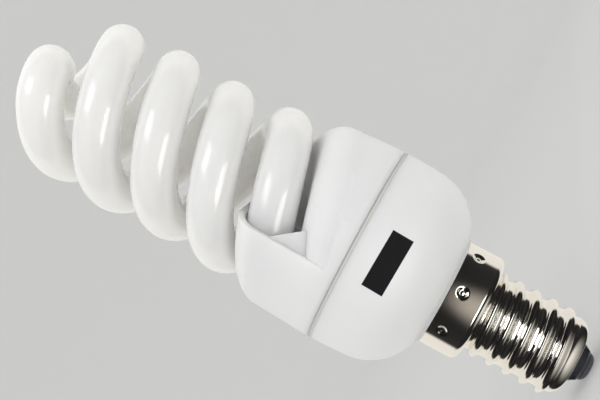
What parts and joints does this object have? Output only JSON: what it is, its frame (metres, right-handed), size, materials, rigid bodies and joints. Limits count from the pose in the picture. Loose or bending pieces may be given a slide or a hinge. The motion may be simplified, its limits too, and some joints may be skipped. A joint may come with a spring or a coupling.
{
  "type": "spiral energy saving bulb",
  "caption": "Compact fluorescent lamp: a double-spiral white glass tube on a white ballast housing with helical sleeves and a nickel E14 screw cap.",
  "frame": {"origin": "on the lamp's axis, at the end face of the centre contact", "axes": "+Z along the lamp's axis from the cap to the tip of the spiral, -Y towards the side the picture shows, +X completes a right-handed frame"},
  "size_m": [0.0326, 0.0326, 0.1002],
  "materials": {
    "tube_glass": "opaque white phosphor coated glass, glossy",
    "housing_plastic": "matt white moulded plastic",
    "cap_nickel": "bright nickel plate on rolled sheet",
    "insulator_glass": "dark vitrite glass",
    "contact_metal": "soldered plate contact",
    "cement": "white setting cement",
    "board_laminate": "paper laminate board",
    "capacitor_sleeve": "dark shrink sleeve",
    "ferrite": "grey ferrite",
    "bobbin_plastic": "natural nylon",
    "enamel_copper": "enamelled copper wire",
    "black_epoxy": "black moulded epoxy",
    "film_case": "dipped film capacitor",
    "resistor_coat": "lacquer on ceramic",
    "diode_glass": "tinted glass bead case",
    "tinned_wire": "tinned wire"
  },
  "bodies": {
    "root": {"blocking_capacitor": "film_case", "cap_insulator": "insulator_glass", "cap_shell": "cap_nickel", "centre_contact": "contact_metal", "choke_bobbin": "bobbin_plastic", "choke_core": "ferrite", "choke_winding": "enamel_copper", "circuit_board": "board_laminate", "electrolytic_capacitor": "capacitor_sleeve", "feedback_toroid": "ferrite", "fuse_resistor": "resistor_coat", "live_lead": "tinned_wire", "lower_housing": "housing_plastic", "neutral_lead": "tinned_wire", "rectifier_diode_1": "black_epoxy", "rectifier_diode_2": "black_epoxy", "rectifier_diode_3": "black_epoxy", "rectifier_diode_4": "black_epoxy", "resistor_1": "resistor_coat", "resistor_2": "resistor_coat", "resistor_3": "resistor_coat", "resistor_4": "resistor_coat", "resonant_capacitor": "film_case", "spiral_tube": "tube_glass", "top_cover": "housing_plastic", "toroid_winding_1": "enamel_copper", "toroid_winding_2": "enamel_copper", "toroid_winding_3": "enamel_copper", "transistor_1": "black_epoxy", "transistor_2": "black_epoxy", "trigger_diode": "diode_glass", "tube_cement_1": "cement", "tube_cement_2": "cement", "tube_lead_1": "tinned_wire", "tube_lead_2": "tinned_wire", "tube_lead_3": "tinned_wire", "tube_lead_4": "tinned_wire", "wrap_pin_1": "tinned_wire", "wrap_pin_2": "tinned_wire", "wrap_pin_3": "tinned_wire", "wrap_pin_4": "tinned_wire"}
  },
  "joints": []
}
